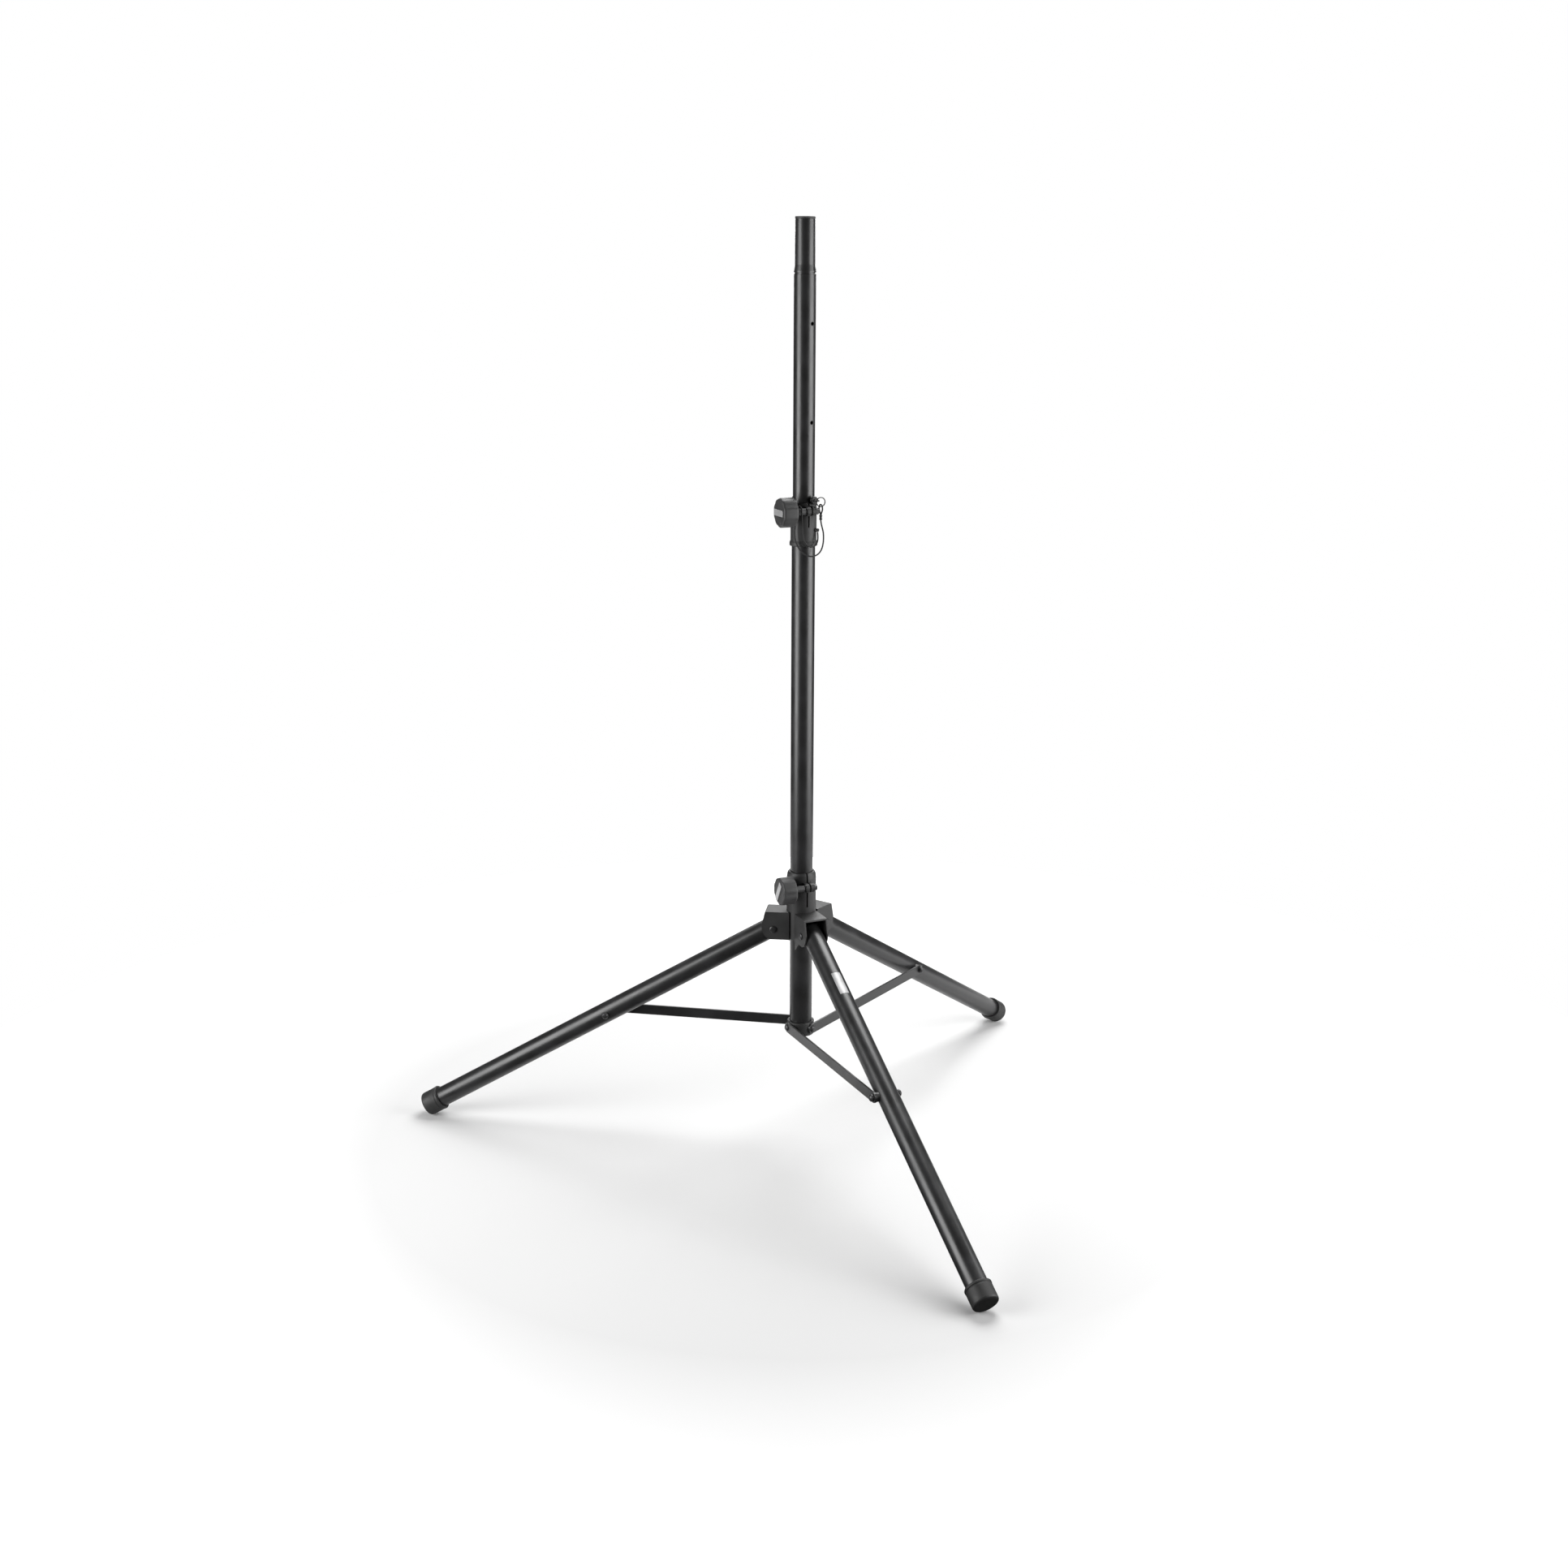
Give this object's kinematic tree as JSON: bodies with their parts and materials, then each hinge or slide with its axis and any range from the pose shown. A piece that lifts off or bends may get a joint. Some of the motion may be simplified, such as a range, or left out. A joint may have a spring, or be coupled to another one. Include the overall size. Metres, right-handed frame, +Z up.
{
  "type": "speaker stand",
  "caption": "Folding tripod stand with a telescoping pole, sliding leg hub, braced legs, clamp knobs, safety pin and a 35 mm speaker spigot.",
  "frame": {"origin": "on the floor, at the centre of the rectangle that the three feet cover; the pole's axis is 178 mm behind it, at y = +0.178 m", "axes": "+Z up along the pole, leg 1 points along -Y, the clamp knobs point along -X"},
  "size_m": [1.2916, 1.1242, 1.681],
  "materials": {
    "powder_coat": "satin black powder coat on steel tube",
    "hub_moulding": "matte black, finely grained",
    "knob_moulding": "matte dark grey moulding",
    "bush_plastic": "smooth black; mostly hidden, so its material is assumed",
    "foot_rubber": "matte black, taken to be rubber",
    "black_hardware": "dark metal, taken to be blackened steel",
    "brass": "hidden inside the knobs, assumed",
    "silver_plate": "satin silver, blank",
    "cord_sheath": "black braided cord"
  },
  "bodies": {
    "mast": {"lower_tube": "powder_coat", "upper_collar": "hub_moulding", "collar_bush": "bush_plastic", "collar_clamp_bolt": "black_hardware", "collar_clamp_washer": "black_hardware", "bottom_hub": "hub_moulding", "brace_screw_1": "black_hardware", "brace_screw_2": "black_hardware", "brace_screw_3": "black_hardware", "lanyard_anchor": "black_hardware", "lanyard": "cord_sheath"},
    "upper_pole": {"upper_tube": "powder_coat", "pole_spigot": "powder_coat", "spigot_cap": "knob_moulding", "spigot_rivet": "black_hardware", "tube_glide": "bush_plastic", "lanyard_crimp": "black_hardware"},
    "safety_pin": {"safety_pin": "knob_moulding", "pin_ring": "black_hardware", "lanyard_eye": "cord_sheath"},
    "upper_knob": {"upper_knob": "knob_moulding", "upper_knob_insert": "brass", "upper_knob_plate": "silver_plate"},
    "tripod_hub": {"tripod_hub": "hub_moulding", "hub_bush": "bush_plastic", "hub_clamp_bolt": "black_hardware", "hub_clamp_washer": "black_hardware", "leg_pivot_bolt_1": "black_hardware", "leg_pivot_bolt_2": "black_hardware", "leg_pivot_bolt_3": "black_hardware", "leg_pivot_nut_1": "black_hardware", "leg_pivot_nut_2": "black_hardware", "leg_pivot_nut_3": "black_hardware"},
    "hub_knob": {"hub_knob": "knob_moulding", "hub_knob_insert": "brass", "hub_knob_plate": "silver_plate"},
    "leg_1": {"leg_tube_1": "powder_coat", "leg_plug_1": "bush_plastic", "foot_1": "foot_rubber", "brace_bolt_1": "black_hardware", "brace_spacer_1": "bush_plastic"},
    "leg_2": {"leg_tube_2": "powder_coat", "leg_plug_2": "bush_plastic", "foot_2": "foot_rubber", "brace_bolt_2": "black_hardware", "brace_spacer_2": "bush_plastic"},
    "leg_3": {"leg_tube_3": "powder_coat", "leg_plug_3": "bush_plastic", "foot_3": "foot_rubber", "brace_bolt_3": "black_hardware", "brace_spacer_3": "bush_plastic"},
    "brace_1": {"brace_1": "powder_coat", "brace_nut_1": "black_hardware"},
    "brace_2": {"brace_2": "powder_coat", "brace_nut_2": "black_hardware"},
    "brace_3": {"brace_3": "powder_coat", "brace_nut_3": "black_hardware"}
  },
  "joints": [
    {"name": "hub_slide", "type": "slide", "parent": "mast", "child": "tripod_hub", "axis": [0, 0, 1], "range_m": [0, 0.5403]},
    {"name": "leg_fold_1", "type": "hinge", "parent": "tripod_hub", "child": "leg_1", "pos_m": [0, 0.128, 0.4154], "axis": [1, 0, 0], "range_deg": [0, 59.74]},
    {"name": "leg_fold_2", "type": "hinge", "parent": "tripod_hub", "child": "leg_2", "pos_m": [0.0433, 0.203, 0.4154], "axis": [-0.5, 0.866, 0], "range_deg": [0, 59.74]},
    {"name": "leg_fold_3", "type": "hinge", "parent": "tripod_hub", "child": "leg_3", "pos_m": [-0.0433, 0.203, 0.4154], "axis": [-0.5, -0.866, 0], "range_deg": [0, 59.74]},
    {"name": "brace_fold_1", "type": "hinge", "parent": "mast", "child": "brace_1", "pos_m": [0, 0.178, 0.2195], "axis": [-1, 0, 0], "range_deg": [0, 80.8]},
    {"name": "brace_fold_2", "type": "hinge", "parent": "mast", "child": "brace_2", "pos_m": [0, 0.178, 0.2195], "axis": [0.5, -0.866, 0], "range_deg": [0, 80.8]},
    {"name": "brace_fold_3", "type": "hinge", "parent": "mast", "child": "brace_3", "pos_m": [0, 0.178, 0.2195], "axis": [0.5, 0.866, 0], "range_deg": [0, 80.8]},
    {"name": "upper_pole_slide", "type": "slide", "parent": "mast", "child": "upper_pole", "axis": [0, 0, 1], "range_m": [0, 0.32]},
    {"name": "safety_pin_pull", "type": "slide", "parent": "upper_pole", "child": "safety_pin", "axis": [0.342, -0.9397, 0], "range_m": [0, 0.05]},
    {"name": "upper_knob_turn", "type": "hinge", "parent": "mast", "child": "upper_knob", "pos_m": [0, 0.148, 1.187], "axis": [-1, 0, 0], "range_deg": [0, 720]},
    {"name": "hub_knob_turn", "type": "hinge", "parent": "tripod_hub", "child": "hub_knob", "pos_m": [0, 0.1434, 0.501], "axis": [-1, 0, 0], "range_deg": [0, 720]}
  ],
  "couplings": [
    {"joint": "leg_fold_1", "follows": "hub_slide", "rad_per_m": 1.929},
    {"joint": "leg_fold_2", "follows": "hub_slide", "rad_per_m": 1.929},
    {"joint": "leg_fold_3", "follows": "hub_slide", "rad_per_m": 1.929},
    {"joint": "brace_fold_1", "follows": "hub_slide", "rad_per_m": 2.6092},
    {"joint": "brace_fold_2", "follows": "hub_slide", "rad_per_m": 2.6092},
    {"joint": "brace_fold_3", "follows": "hub_slide", "rad_per_m": 2.6092}
  ]
}
